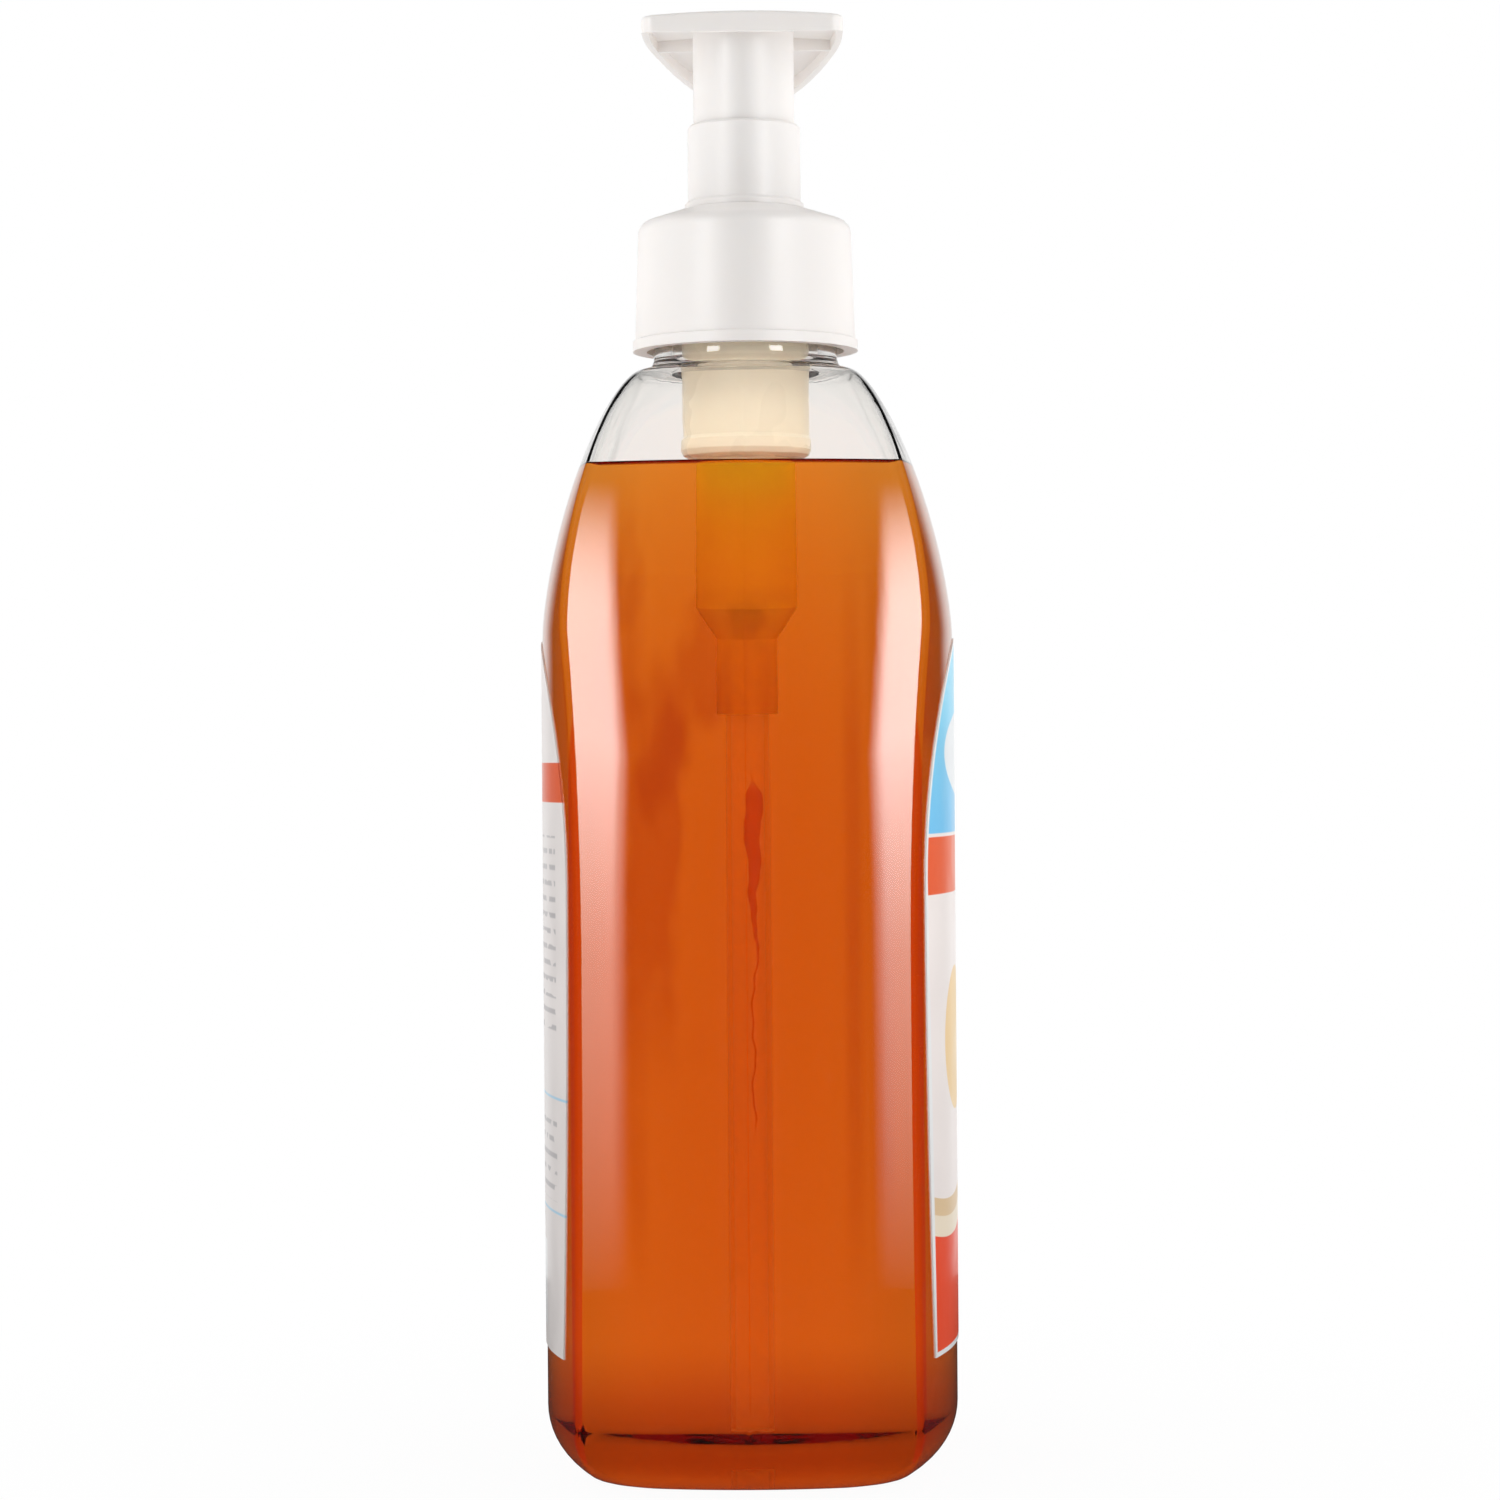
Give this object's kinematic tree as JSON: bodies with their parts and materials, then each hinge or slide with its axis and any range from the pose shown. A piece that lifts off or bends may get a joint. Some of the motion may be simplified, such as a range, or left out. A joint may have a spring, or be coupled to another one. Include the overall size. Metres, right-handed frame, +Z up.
{
  "type": "liquid soap bottle",
  "caption": "Clear blown bottle of amber liquid soap, with arched front and back labels and a white screw-on lotion pump whose head presses, springs back and swivels.",
  "frame": {"origin": "centre of the base, on the surface that the bottle stands on", "axes": "+Z up along the neck and pump; -Y towards the front label; +X the way the spout points at rest, across the bottle's wide side"},
  "size_m": [0.075, 0.0612, 0.2138],
  "materials": {
    "clear_pet": "clear gloss",
    "amber_soap": "clear amber liquid",
    "front_film": "satin film",
    "back_film": "satin film",
    "white_pp": "gloss",
    "ivory_pp": "satin, slightly milky",
    "tube_pe": "milky",
    "soft_pe": "matt",
    "spring_steel": "bright drawn wire",
    "ball_steel": "polished"
  },
  "bodies": {
    "bottle_body": {"bottle": "clear_pet", "liquid_soap": "amber_soap", "front_label": "front_film", "back_label": "back_film"},
    "pump_unit": {"neck_gasket": "soft_pe", "pump_housing": "ivory_pp", "dip_tube": "tube_pe", "inlet_ball": "ball_steel", "ball_cage": "ivory_pp", "stem_guide": "white_pp", "return_spring": "spring_steel"},
    "collar_body": {"closure_collar": "white_pp"},
    "plunger": {"piston": "soft_pe"},
    "head_unit": {"actuator_head": "white_pp", "stem": "white_pp", "piston_seat": "white_pp", "outlet_ball": "ball_steel"}
  },
  "joints": [
    {"name": "pump_rise", "type": "slide", "parent": "bottle_body", "child": "pump_unit", "axis": [0, 0, 1], "range_m": [0, 0.00636]},
    {"name": "collar_turn", "type": "hinge", "parent": "pump_unit", "child": "collar_body", "pos_m": [0, 0, 0.17], "axis": [0, 0, 1], "range_deg": [0, 540]},
    {"name": "head_press", "type": "slide", "parent": "pump_unit", "child": "plunger", "axis": [0, 0, -1], "range_m": [0, 0.0115], "stiffness_N_per_m": 700, "springref_m": -0.007, "deforming": ["return_spring"]},
    {"name": "head_swivel", "type": "hinge", "parent": "plunger", "child": "head_unit", "pos_m": [0, 0, 0.2], "axis": [0, 0, 1], "continuous": true}
  ],
  "couplings": [
    {"joint": "pump_rise", "follows": "collar_turn", "m_per_rad": 0.00067375}
  ]
}
